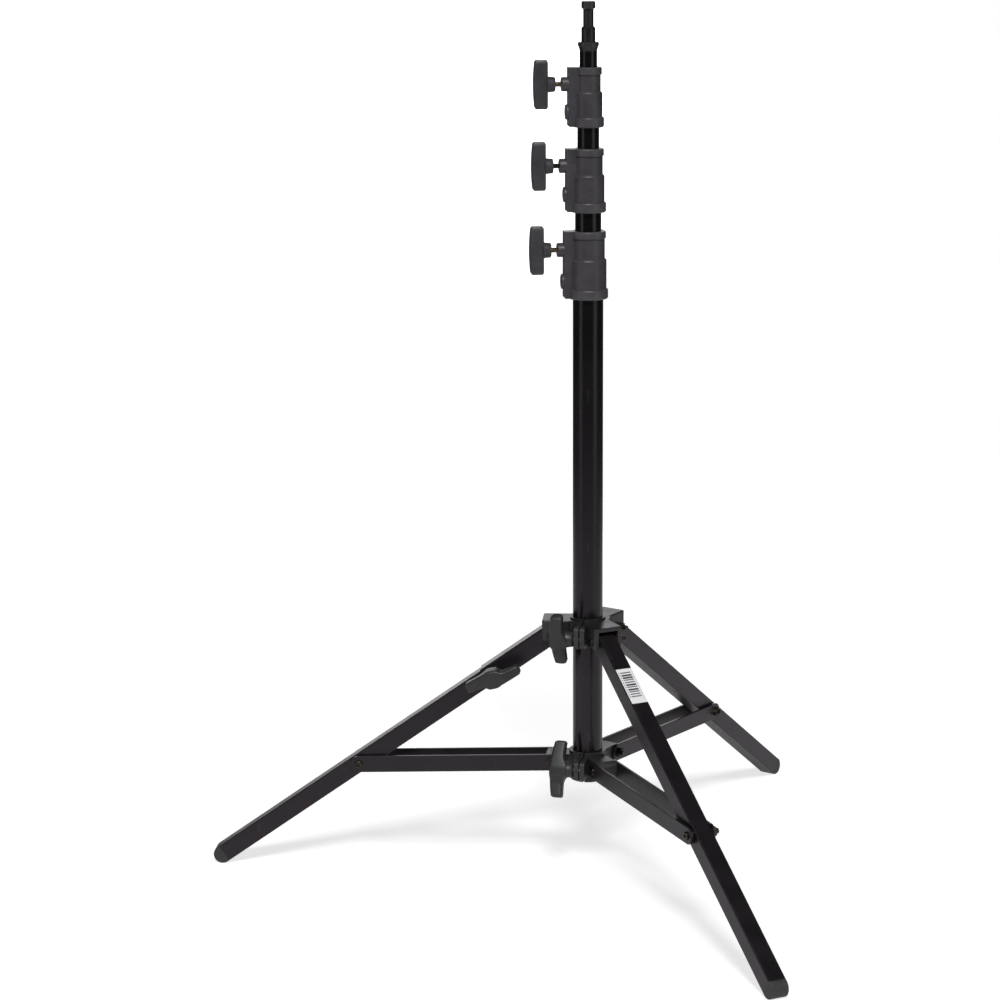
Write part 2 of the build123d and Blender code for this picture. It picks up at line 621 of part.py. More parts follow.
def brace_bar(leg, side):
    """One flat bar with round ends and a hole at each end. side is +1 or -1."""
    slot = Pos(BRACE_LENGTH / 2, 0) * SlotCenterToCenter(BRACE_LENGTH, BAR_HEIGHT)
    start = BAR_INNER if side > 0 else -BAR_INNER - BAR_THICKNESS
    bar = Pos(0, start + BAR_THICKNESS, 0) * extrude(Plane.XZ * slot, BAR_THICKNESS)
    bar = chamfer(bar.edges().group_by(Axis.Y)[-1 if side > 0 else 0], 0.5)
    bar -= cross_hole(SCREW_RADIUS + RUNNING_GAP, 0)
    bar -= cross_hole(SCREW_RADIUS, BRACE_LENGTH)
    return in_brace_frame(bar, leg)


def brace_bolt(leg):
    """The bolt between a brace and its leg: a headed stub on one bar, a nutted one on the other."""
    side = NEAR_SIDE[leg]
    outer = BAR_INNER + BAR_THICKNESS
    head = bolt_head(BOLT_HEAD_RADIUS, BOLT_HEAD_HEIGHT, (BRACE_LENGTH, side * outer, 0), side)
    head_start = BAR_INNER if side > 0 else -outer
    head_shank = rod(SCREW_RADIUS, BAR_THICKNESS, (BRACE_LENGTH, head_start, 0), "y")
    nut_start = -outer - NUT_HEIGHT if side > 0 else outer
    nut = hexagon(NUT_RADIUS, NUT_HEIGHT, (BRACE_LENGTH, nut_start, 0))
    tail = BAR_THICKNESS + NUT_HEIGHT + BRACE_BOLT_TAIL
    tail_start = -BAR_INNER - tail if side > 0 else BAR_INNER
    nut_shank = rod(SCREW_RADIUS, tail, (BRACE_LENGTH, tail_start, 0), "y")
    pieces = [head + head_shank, nut + nut_shank]
    return Compound(children=[in_brace_frame(piece, leg) for piece in pieces])


def main():
    """Writes every sub-part."""
    os.makedirs("parts", exist_ok=True)
    save(column_tube(0), "base_tube")
    save(base_plug(), "base_plug")
    save(stud(), "stud")
    for number in (1, 2, 3):
        save(column_tube(number), f"riser_{number}_tube")
        save(riser_glide(number), f"riser_{number}_glide")
    for number, (name, *_) in enumerate(COLLARS):
        save(collar(number), f"{name}_collar")
        save(collar_screw(number), f"{name}_collar_screw")
        save(knob(number), f"{name}_knob")
        save(knob_screw(number), f"{name}_knob_screw")
        save(pressure_pad(number), f"{name}_pressure_pad")
    save(upper_hub(), "upper_hub")
    save(lower_hub(), "lower_hub")
    for name, height, turn in (
        ("upper", UPPER_SCREW_Z, UPPER_HANDLE_TURN),
        ("lower", LOWER_SCREW_Z, LOWER_HANDLE_TURN),
    ):
        handle, screw = hub_handle(height, turn)
        save(handle, f"{name}_hub_handle")
        save(screw, f"{name}_hub_screw")
        save(clamp_nut(height), f"{name}_hub_nut")
    save(pivot_bolts(UPPER_PIVOT, CHEEK_OUTER, UPPER_BOLT_TAIL), "upper_pivot_bolts")
    save(pivot_nuts(UPPER_PIVOT, CHEEK_OUTER), "upper_pivot_nuts")
    save(pivot_washers(), "upper_pivot_washers")
    brace_side = BAR_INNER + BAR_THICKNESS + 0.2
    save(pivot_bolts(LOWER_PIVOT, brace_side, LOWER_BOLT_TAIL), "lower_pivot_bolts")
    save(pivot_nuts(LOWER_PIVOT, brace_side), "lower_pivot_nuts")
    handle, screw = leg_handle()
    save(handle, "leg_handle")
    save(screw, "leg_screw")
    save(leveling_sleeve(), "leveling_leg_sleeve")
    for leg in LEG_ANGLES:
        save(leg_tube(leg), f"{leg}_leg_tube")
        save(foot_cap(leg), f"{leg}_foot_cap")
        save(leg_bushing(leg), f"{leg}_leg_bushing")
        save(brace_bar(leg, 1), f"{leg}_brace_left_bar")
        save(brace_bar(leg, -1), f"{leg}_brace_right_bar")
        save(brace_bolt(leg), f"{leg}_brace_bolt")
    save(barcode_label(), "label")


if __name__ == "__main__":
    main()
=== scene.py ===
"""Folding light stand: finishes, fine detail, floor, studio light and camera.

Everything is in metres, in the stand's own frame: the origin is on the column's axis at floor
level, +Z is up, and the leveling leg points along -X.
"""
from __future__ import annotations

import json
import logging
import math
from dataclasses import dataclass, field
from enum import Enum
from typing import Iterable, Sequence

import bmesh
import bpy
from mathutils import Matrix, Vector

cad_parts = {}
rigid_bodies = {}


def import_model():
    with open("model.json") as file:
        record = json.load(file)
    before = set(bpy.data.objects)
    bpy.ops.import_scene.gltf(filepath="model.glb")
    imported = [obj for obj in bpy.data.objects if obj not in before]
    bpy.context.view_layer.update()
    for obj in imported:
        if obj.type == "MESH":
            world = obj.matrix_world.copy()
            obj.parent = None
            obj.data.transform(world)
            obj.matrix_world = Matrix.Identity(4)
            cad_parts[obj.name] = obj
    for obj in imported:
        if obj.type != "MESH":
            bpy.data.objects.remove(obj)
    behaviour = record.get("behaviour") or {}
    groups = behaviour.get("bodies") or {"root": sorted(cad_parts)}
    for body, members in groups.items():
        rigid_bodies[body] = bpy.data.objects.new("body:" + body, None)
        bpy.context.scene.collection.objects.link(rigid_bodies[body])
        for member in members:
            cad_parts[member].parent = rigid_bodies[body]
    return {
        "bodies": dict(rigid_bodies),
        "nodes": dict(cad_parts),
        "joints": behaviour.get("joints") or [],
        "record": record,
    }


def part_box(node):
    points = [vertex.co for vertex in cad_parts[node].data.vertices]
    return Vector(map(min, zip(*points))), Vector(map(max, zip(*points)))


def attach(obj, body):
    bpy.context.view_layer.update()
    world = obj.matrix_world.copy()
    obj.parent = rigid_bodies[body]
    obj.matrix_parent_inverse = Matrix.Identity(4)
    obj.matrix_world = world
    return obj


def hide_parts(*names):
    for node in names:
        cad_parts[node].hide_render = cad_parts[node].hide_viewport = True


LOG = logging.getLogger("light_stand")

MM = 0.001
UP = Vector((0.0, 0.0, 1.0))
WELD_DISTANCE = 1e-7
SMALLEST_FLAT = 1e-6
Colour = tuple[float, float, float]

PATCH_DETAIL = 3.0
GRAIN_DETAIL = 2.0
PATCH_SHARE_OF_ROUGHNESS = 0.65
GRAIN_SHARE_OF_ROUGHNESS = 0.35
USUAL_NOISE = (0.3, 0.7)
TONE_STOPS = (0.32, 0.68)
SCUFF_SCALE = (260.0, 260.0, 40.0)
SCUFF_LEAN = (0.5, 0.35, 0.2)
SCUFF_BAND = (0.70, 0.80)
WORN_EDGE_BAND = (0.52, 0.60)
WORN_EDGE_BREAKS = 140.0
SCUFF_BLUENESS = 1.02


class Grain(Enum):
    """How a finish's fine marks run over the surface, as noise scales per metre in x, y and z."""

    EVEN = (1.0, 1.0, 1.0)
    DRAWN_UP = (1.0, 1.0, 0.012)


class Leg(Enum):
    """The three legs, each with the direction that it points in, in degrees from +X."""

    LEVELING = 180.0
    FRONT = 300.0
    BACK = 60.0

    @property
    def label(self) -> str:
        """The leg's name in the frame's nodes."""
        return self.name.lower()


# --- finishes -------------------------------------------------------------------------------------


@dataclass(frozen=True)
class Finish:
    """A coated, moulded or plated surface with grain, tone changes and scuffs.

    Attributes:
        name: the material's name.
        dark: base colour in the darker patches.
        light: base colour in the lighter patches.
        rough_low: roughness of the most handled patches.
        rough_high: roughness of the untouched patches.
        metallic: 1 for bare metal, 0 for a coating or plastic.
        specular: the shader's specular level.
        sheen_tint: colour of the mirror-like part of the light.
        patch_scale: size of the tone patches, in patches per metre.
        grain: the direction of the fine marks.
        grain_scale: fine marks per metre.
        grain_depth: height of the fine marks, in metres.
        scuff: how much lighter thin scuff marks are, from 0.
        edge_wear: how much lighter worn edges are, from 0.
    """

    name: str
    dark: Colour
    light: Colour
    rough_low: float
    rough_high: float
    metallic: float = 0.0
    specular: float = 0.5
    sheen_tint: Colour = (1.0, 1.0, 1.0)
    patch_scale: float = 25.0
    grain: Grain = Grain.EVEN
    grain_scale: float = 900.0
    grain_depth: float = 0.00006
    scuff: float = 0.0
    edge_wear: float = 0.0

    def build(self) -> bpy.types.Material:
        """Builds the node material.

        Returns:
            The material, made once and shared by every piece with this finish.
        """
        found = bpy.data.materials.get(self.name)
        if found is not None:
            return found
        material = bpy.data.materials.new(self.name)
        material.use_nodes = True
        tree = material.node_tree
        shader = tree.nodes["Principled BSDF"]
        shader.inputs["Metallic"].default_value = self.metallic
        shader.inputs["Specular IOR Level"].default_value = self.specular
        shader.inputs["Specular Tint"].default_value = (*self.sheen_tint, 1.0)
        place = tree.nodes.new("ShaderNodeTexCoord").outputs["Object"]
        patches = self._noise(tree, place, self.patch_scale, PATCH_DETAIL, Grain.EVEN)
        fine = self._noise(tree, place, self.grain_scale, GRAIN_DETAIL, self.grain)
        colour = self._mix(tree, patches, self.dark, self.light)
        if self.scuff > 0.0:
            colour = self._lighten(tree, colour, self._scratches(tree, place), self.scuff)
        if self.edge_wear > 0.0:
            colour = self._lighten(tree, colour, self._edges(tree, place), self.edge_wear)
        tree.links.new(colour, shader.inputs["Base Color"])
        blend = tree.nodes.new("ShaderNodeMath")
        blend.operation = "MULTIPLY_ADD"
        blend.inputs[1].default_value = GRAIN_SHARE_OF_ROUGHNESS
        tree.links.new(fine, blend.inputs[0])
        scaled = tree.nodes.new("ShaderNodeMath")
        scaled.operation = "MULTIPLY"
        scaled.inputs[1].default_value = PATCH_SHARE_OF_ROUGHNESS
        tree.links.new(patches, scaled.inputs[0])
        tree.links.new(scaled.outputs[0], blend.inputs[2])
        rough = tree.nodes.new("ShaderNodeMapRange")
        rough.inputs["From Min"].default_value = USUAL_NOISE[0]
        rough.inputs["From Max"].default_value = USUAL_NOISE[1]
        rough.inputs["To Min"].default_value = self.rough_low
        rough.inputs["To Max"].default_value = self.rough_high
        tree.links.new(blend.outputs[0], rough.inputs["Value"])
        tree.links.new(rough.outputs[0], shader.inputs["Roughness"])
        bump = tree.nodes.new("ShaderNodeBump")
        bump.inputs["Strength"].default_value = 1.0
        bump.inputs["Distance"].default_value = self.grain_depth
        tree.links.new(fine, bump.inputs["Height"])
        tree.links.new(bump.outputs["Normal"], shader.inputs["Normal"])
        return material

    @staticmethod
    def _noise(
        tree: bpy.types.NodeTree,
        place: bpy.types.NodeSocket,
        scale: float,
        detail: float,
        grain: Grain,
    ) -> bpy.types.NodeSocket:
        """Adds a noise in the piece's own coordinates.

        Args:
            tree: the material's node tree.
            place: the coordinates to read.
            scale: noise cells per metre.
            detail: octaves of finer noise.
            grain: how the noise is stretched.

        Returns:
            The noise's value socket, about 0.3 to 0.7 over most of a surface.
        """
        mapping = tree.nodes.new("ShaderNodeMapping")
        mapping.inputs["Scale"].default_value = grain.value
        tree.links.new(place, mapping.inputs["Vector"])
        noise = tree.nodes.new("ShaderNodeTexNoise")
        noise.inputs["Scale"].default_value = scale
        noise.inputs["Detail"].default_value = detail
        tree.links.new(mapping.outputs[0], noise.inputs["Vector"])
        return noise.outputs["Fac"]

    @staticmethod
    def _mix(
        tree: bpy.types.NodeTree, factor: bpy.types.NodeSocket, low: Colour, high: Colour
    ) -> bpy.types.NodeSocket:
        """Blends two colours by a noise.

        Args:
            tree: the material's node tree.
            factor: the noise.
            low: the colour where the noise is low.
            high: the colour where it is high.

        Returns:
            The blended colour's socket.
        """
        ramp = tree.nodes.new("ShaderNodeValToRGB")
        ramp.color_ramp.elements[0].position = TONE_STOPS[0]
        ramp.color_ramp.elements[0].color = (*low, 1.0)
        ramp.color_ramp.elements[1].position = TONE_STOPS[1]
        ramp.color_ramp.elements[1].color = (*high, 1.0)
        tree.links.new(factor, ramp.inputs[0])
        return ramp.outputs[0]

    @staticmethod
    def _lighten(
        tree: bpy.types.NodeTree,
        colour: bpy.types.NodeSocket,
        mask: bpy.types.NodeSocket,
        amount: float,
    ) -> bpy.types.NodeSocket:
        """Adds a pale tone where a mask is high.

        Args:
            tree: the material's node tree.
            colour: the colour so far.
            mask: where the tone shows.
            amount: how much is added at most.

        Returns:
            The new colour's socket.
        """
        add = tree.nodes.new("ShaderNodeMix")
        add.data_type = "RGBA"
        add.blend_type = "ADD"
        add.inputs[7].default_value = (amount, amount, amount * SCUFF_BLUENESS, 1.0)
        tree.links.new(mask, add.inputs[0])
        tree.links.new(colour, add.inputs[6])
        return add.outputs[2]

    @staticmethod
    def _scratches(
        tree: bpy.types.NodeTree, place: bpy.types.NodeSocket
    ) -> bpy.types.NodeSocket:
        """Makes a mask of sparse, short, thin scuff marks.

        Args:
            tree: the material's node tree.
            place: the coordinates to read.

        Returns:
            The mask's socket, mostly 0.
        """
        mapping = tree.nodes.new("ShaderNodeMapping")
        mapping.inputs["Scale"].default_value = SCUFF_SCALE
        mapping.inputs["Rotation"].default_value = SCUFF_LEAN
        tree.links.new(place, mapping.inputs["Vector"])
        noise = tree.nodes.new("ShaderNodeTexNoise")
        noise.inputs["Scale"].default_value = 1.0
        noise.inputs["Detail"].default_value = 1.0
        tree.links.new(mapping.outputs[0], noise.inputs["Vector"])
        sharp = tree.nodes.new("ShaderNodeMapRange")
        sharp.inputs["From Min"].default_value = SCUFF_BAND[0]
        sharp.inputs["From Max"].default_value = SCUFF_BAND[1]
        tree.links.new(noise.outputs["Fac"], sharp.inputs["Value"])
        return sharp.outputs[0]

    @staticmethod
    def _edges(tree: bpy.types.NodeTree, place: bpy.types.NodeSocket) -> bpy.types.NodeSocket:
        """Makes a broken mask along outward edges, where a coating wears first.

        Args:
            tree: the material's node tree.
            place: the coordinates to read.

        Returns:
            The mask's socket, 0 away from edges.
        """
        geometry = tree.nodes.new("ShaderNodeNewGeometry")
        sharp = tree.nodes.new("ShaderNodeMapRange")
        sharp.inputs["From Min"].default_value = WORN_EDGE_BAND[0]
        sharp.inputs["From Max"].default_value = WORN_EDGE_BAND[1]
        tree.links.new(geometry.outputs["Pointiness"], sharp.inputs["Value"])
        breaks = tree.nodes.new("ShaderNodeTexNoise")
        breaks.inputs["Scale"].default_value = WORN_EDGE_BREAKS
        tree.links.new(place, breaks.inputs["Vector"])
        both = tree.nodes.new("ShaderNodeMath")
        both.operation = "MULTIPLY"
        tree.links.new(sharp.outputs[0], both.inputs[0])
        tree.links.new(breaks.outputs["Fac"], both.inputs[1])
        return both.outputs[0]


RISER_BLACK = Finish(
    "riser_black_anodised", (0.002, 0.002, 0.0021), (0.004, 0.0039, 0.004), 0.19, 0.26,
    patch_scale=14.0, grain=Grain.DRAWN_UP, grain_scale=1400.0, grain_depth=0.000008, scuff=0.01,
)
TUBE_BLACK = Finish(
    "base_tube_black_anodised", (0.0024, 0.0022, 0.0023), (0.005, 0.0045, 0.0048), 0.22, 0.31,
    sheen_tint=(1.0, 0.9, 1.0), patch_scale=10.0, grain=Grain.DRAWN_UP, grain_scale=1100.0,
    grain_depth=0.000012, scuff=0.012,
)
LEG_BLACK = Finish(
    "leg_black_anodised", (0.0055, 0.0049, 0.0054), (0.0085, 0.0074, 0.0082), 0.31, 0.41,
    sheen_tint=(1.0, 0.86, 1.0), patch_scale=30.0, grain_scale=700.0, grain_depth=0.00001, scuff=0.012,
)
BRACE_BLACK = Finish(
    "brace_black_anodised", (0.007, 0.0066, 0.007), (0.0105, 0.0098, 0.0104), 0.32, 0.42,
    sheen_tint=(1.0, 0.88, 1.0), patch_scale=40.0, grain_scale=800.0, grain_depth=0.00001, scuff=0.012,
)
CAST_BLACK = Finish(
    "cast_black_powder_coat", (0.05, 0.0465, 0.0525), (0.062, 0.0578, 0.065), 0.34, 0.48,
    sheen_tint=(1.0, 0.94, 1.0),
    patch_scale=60.0, grain_scale=1500.0, grain_depth=0.00005, edge_wear=0.05,
)
KNOB_PLASTIC = Finish(
    "knob_grained_plastic", (0.04, 0.0385, 0.043), (0.052, 0.05, 0.0555), 0.4, 0.54,
    patch_scale=50.0, grain_scale=1900.0, grain_depth=0.00005, edge_wear=0.035,
)
HUB_BLACK = Finish(
    "hub_black_satin", (0.012, 0.0118, 0.0125), (0.019, 0.0185, 0.0195), 0.34, 0.46,
    sheen_tint=(1.0, 0.95, 1.0), patch_scale=60.0, grain_scale=1500.0, grain_depth=0.00004,
    edge_wear=0.03,
)
HANDLE_PLASTIC = Finish(
    "handle_grained_plastic", (0.02, 0.0202, 0.0215), (0.029, 0.0293, 0.031), 0.38, 0.52,
    patch_scale=50.0, grain_scale=1900.0, grain_depth=0.00005, edge_wear=0.03,
)
FOOT_PLASTIC = Finish(
    "foot_matte_plastic", (0.026, 0.026, 0.028), (0.036, 0.036, 0.038), 0.5, 0.68,
    patch_scale=80.0, grain_scale=1300.0, grain_depth=0.00004, edge_wear=0.03,
)
GUIDE_PLASTIC = Finish(
    "guide_plain_plastic", (0.02, 0.02, 0.02), (0.028, 0.028, 0.028), 0.4, 0.5,
    patch_scale=60.0, grain_scale=900.0, grain_depth=0.00002,
)
STUD_BLACK = Finish(
    "stud_black_oxide", (0.008, 0.008, 0.0085), (0.016, 0.016, 0.0165), 0.3, 0.42,
    specular=0.6, patch_scale=70.0, grain_scale=1800.0, grain_depth=0.00001, edge_wear=0.06,
)
ZINC = Finish(
    "yellow_zinc_plate", (0.16, 0.12, 0.07), (0.36, 0.27, 0.15), 0.26, 0.4,
    metallic=1.0, patch_scale=420.0, grain_scale=2400.0, grain_depth=0.000015,
)
BLACK_BOLT = Finish(
    "dark_plated_steel", (0.035, 0.031, 0.026), (0.09, 0.078, 0.06), 0.28, 0.4,
    metallic=1.0, patch_scale=300.0, grain_scale=2200.0, grain_depth=0.000015,
)
BRASS = Finish(
    "turned_brass", (0.5, 0.36, 0.14), (0.66, 0.49, 0.2), 0.25, 0.35,
    metallic=1.0, patch_scale=200.0, grain_scale=2000.0, grain_depth=0.00001,
)
PAPER = Finish(
    "label_paper", (0.7, 0.705, 0.72), (0.78, 0.782, 0.79), 0.5, 0.62,
    patch_scale=150.0, grain_scale=2500.0, grain_depth=0.00001,
)
INK = Finish(
    "label_ink", (0.03, 0.03, 0.032), (0.07, 0.07, 0.073), 0.5, 0.6,
    patch_scale=900.0, grain_scale=2500.0, grain_depth=0.000005,
)
PALE_INK = Finish(
    "label_pale_ink", (0.14, 0.14, 0.145), (0.2, 0.2, 0.205), 0.5, 0.6,
    patch_scale=900.0, grain_scale=2500.0, grain_depth=0.000005,
)


# --- mesh helpers ---------------------------------------------------------------------------------


def new_piece(
    name: str, bm: bmesh.types.BMesh, finish: Finish, smooth_angle: float = 35.0
) -> bpy.types.Object:
    """Turns a bmesh into a shaded object.

    Args:
        name: the piece's name.
        bm: its mesh, which is freed.
        finish: its finish.
        smooth_angle: edges sharper than this, in degrees, stay crisp.

    Returns:
        The new object.
    """
    bmesh.ops.remove_doubles(bm, verts=bm.verts, dist=WELD_DISTANCE)
    bmesh.ops.recalc_face_normals(bm, faces=bm.faces)
    mesh = bpy.data.meshes.new(name)
    bm.to_mesh(mesh)
    bm.free()
    mesh.shade_smooth()
    mesh.set_sharp_from_angle(angle=math.radians(smooth_angle))
    piece = bpy.data.objects.new(name, mesh)
    bpy.context.scene.collection.objects.link(piece)
    mesh.materials.append(finish.build())
    return piece


def bridge_rings(bm: bmesh.types.BMesh, rings: Sequence[Sequence[Vector]]) -> None:
    """Skins a list of rings that all have the same number of points, and closes both ends.

    Args:
        bm: the mesh to add to.
        rings: each ring's points, in order round it.
    """
    made = [[bm.verts.new(point) for point in ring] for ring in rings]
    count = len(made[0])
    for low, high in zip(made, made[1:]):
        for i in range(count):
            j = (i + 1) % count
            bm.faces.new((low[i], low[j], high[j], high[i]))
    bm.faces.new(list(reversed(made[0])))
    bm.faces.new(made[-1])


def round_rectangle(
    width: float, height: float, corner: float, steps: int = 5
) -> list[tuple[float, float]]:
    """Outlines a rectangle with round corners.

    Args:
        width: its size across.
        height: its size up.
        corner: the corners' radius.
        steps: points on each corner.

    Returns:
        The outline's points, counter-clockwise.
    """
    corner = min(corner, width / 2 - SMALLEST_FLAT, height / 2 - SMALLEST_FLAT)
    points = []
    for quarter, (sx, sy) in enumerate(((1, 1), (-1, 1), (-1, -1), (1, -1))):
        middle_x = sx * (width / 2 - corner)
        middle_y = sy * (height / 2 - corner)
        for i in range(steps + 1):
            angle = math.radians(90 * quarter + 90 * i / steps)
            x = middle_x + corner * math.cos(angle)
            y = middle_y + corner * math.sin(angle)
            points.append((x, y))
    return points


def quarter_round(share: float, end_share: float) -> float:
    """Eases from 0 along a bar to 1 at its very ends, along a quarter circle.

    Args:
        share: place along the bar, from -1 at one end to 1 at the other.
        end_share: share of the half length over which an end is rounded.

    Returns:
        How far the rounding has gone, from 0 to 1.
    """
    rounding = max(0.0, (abs(share) - (1.0 - end_share)) / end_share)
    return 1.0 - math.sqrt(max(0.0, 1.0 - rounding**2))


def spun(outline: Iterable[tuple[float, float]], segments: int = 64) -> list[list[Vector]]:
    """Spins an outline of (distance along x, radius) points about the x axis.

    Args:
        outline: the points, in order.
        segments: points round each ring.

    Returns:
        One ring of points for each point of the outline.
    """
    rings = []
    for x, radius in outline:
        ring = []
        for i in range(segments):
            angle = 2 * math.pi * i / segments
            ring.append(Vector((x, radius * math.cos(angle), radius * math.sin(angle))))
        rings.append(ring)
    return rings


def axis_frame(origin: Vector, axis: Vector, up: Vector, turn: float = 0.0) -> Matrix:
    """Makes the placing of a piece whose own x axis lies along a joint's axis.

    Args:
        origin: where the piece's own origin goes.
        axis: where its x axis points.
        up: about where its z axis points.
        turn: how far it is then turned about its x axis, in degrees.

    Returns:
        The 4 by 4 matrix.
    """
    x = axis.normalized()
    y = up.cross(x).normalized()
    z = x.cross(y)
    basis = Matrix((x, y, z)).transposed().to_4x4()
    return Matrix.Translation(origin) @ basis @ Matrix.Rotation(math.radians(turn), 4, "X")


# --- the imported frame, as this script reads it ----------------------------------------------------


@dataclass
class Stand:
    """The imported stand: its nodes and joints.

    Attributes:
    """

    frame: dict

    def node(self, name: str) -> bpy.types.Object:
        """The CAD node's object."""
        return self.frame["nodes"][name]

    def joint(self, name: str) -> dict:
        """The joint of that name, from the record."""
        return next(j for j in self.frame["joints"] if j["name"] == name)

    def joint_line(self, name: str) -> tuple[Vector, Vector]:
        """A hinge's point and unit axis at rest."""
        joint = self.joint(name)
        return Vector(joint["pos_m"]), Vector(joint["axis"]).normalized()

    def span(self, node: str, origin: Vector, axis: Vector) -> tuple[float, float]:
        """Measures how far a node reaches along a line.

        Args:
            node: the node's name.
            origin: the point that counts as 0.
            axis: the line's unit direction.

        Returns:
            The lowest and the highest distance.
        """
        reach = [(vertex.co - origin).dot(axis) for vertex in self.node(node).data.vertices]
        return min(reach), max(reach)

    def dress(self, finish: Finish, *nodes: str) -> None:
        """Gives CAD nodes a finish.

        Args:
            finish: the finish.
            nodes: the nodes' names.
        """
        material = finish.build()
        for name in nodes:
            mesh = self.node(name).data
            mesh.materials.clear()
            mesh.materials.append(material)


# --- sub-assemblies -------------------------------------------------------------------------------


@dataclass
class Column:
    """Base tube, three risers with their guides, and the stud.

    Attributes:
        risers: how many tubes slide in the base tube.
    """

    risers: int = 3

    def dress(self, stand: Stand) -> None:
        """Gives the column's nodes their finishes.

        Args:
            stand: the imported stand.
        """
        stand.dress(TUBE_BLACK, "base_tube")
        stand.dress(STUD_BLACK, "stud")
        stand.dress(GUIDE_PLASTIC, "base_plug")
        for number in range(1, self.risers + 1):
            stand.dress(RISER_BLACK, f"riser_{number}_tube")
            stand.dress(GUIDE_PLASTIC, f"riser_{number}_glide")


@dataclass
class ThreadedScrew:
    """A plated screw with a real helical thread.

    Attributes:
        radius: outer radius of the thread.
        pitch: distance between turns.
        depth: depth of the thread.
        around: points round each turn.
        rings_per_turn: rings of points in one turn.
        end_taper: length of the tapered ends, in turns.
        end_share: how much of the taper is left at the very end.
        end_radius: the screw's radius at a full taper, as a share of the whole.
    """

    radius: float = 3.0 * MM
    pitch: float = 1.25 * MM
    depth: float = 0.55 * MM
    around: int = 20
    rings_per_turn: int = 4
    end_taper: float = 0.6
    end_share: float = 0.35
    end_radius: float = 0.82

    def build(
        self, name: str, start: float, end: float, place: Matrix, finish: Finish
    ) -> bpy.types.Object:
        """Builds the screw along its own x axis and puts it in place.

        Args:
            name: the piece's name.
            start: where the screw begins along its axis.
            end: where it ends.
            place: where its own frame goes.
            finish: its plating.

        Returns:
            The screw.
        """
        steps = max(int((end - start) / self.pitch * self.rings_per_turn), self.rings_per_turn)
        bm = bmesh.new()
        rings = []
        for i in range(steps + 1):
            x = start + (end - start) * i / steps
            ring = []
            for k in range(self.around):
                turn = k / self.around
                phase = (x / self.pitch - turn) % 1.0
                groove = 1.0 - abs(2.0 * phase - 1.0)
                from_end = min(x - start, end - x) / (self.end_taper * self.pitch)
                taper = min(1.0, from_end + self.end_share)
                full = self.end_radius + (1.0 - self.end_radius) * taper
                radius = (self.radius - self.depth * groove) * full
                angle = 2 * math.pi * turn
                ring.append(Vector((x, radius * math.cos(angle), radius * math.sin(angle))))
            rings.append(ring)
        bridge_rings(bm, rings)
        bm.transform(place)
        return new_piece(name, bm, finish, 60.0)


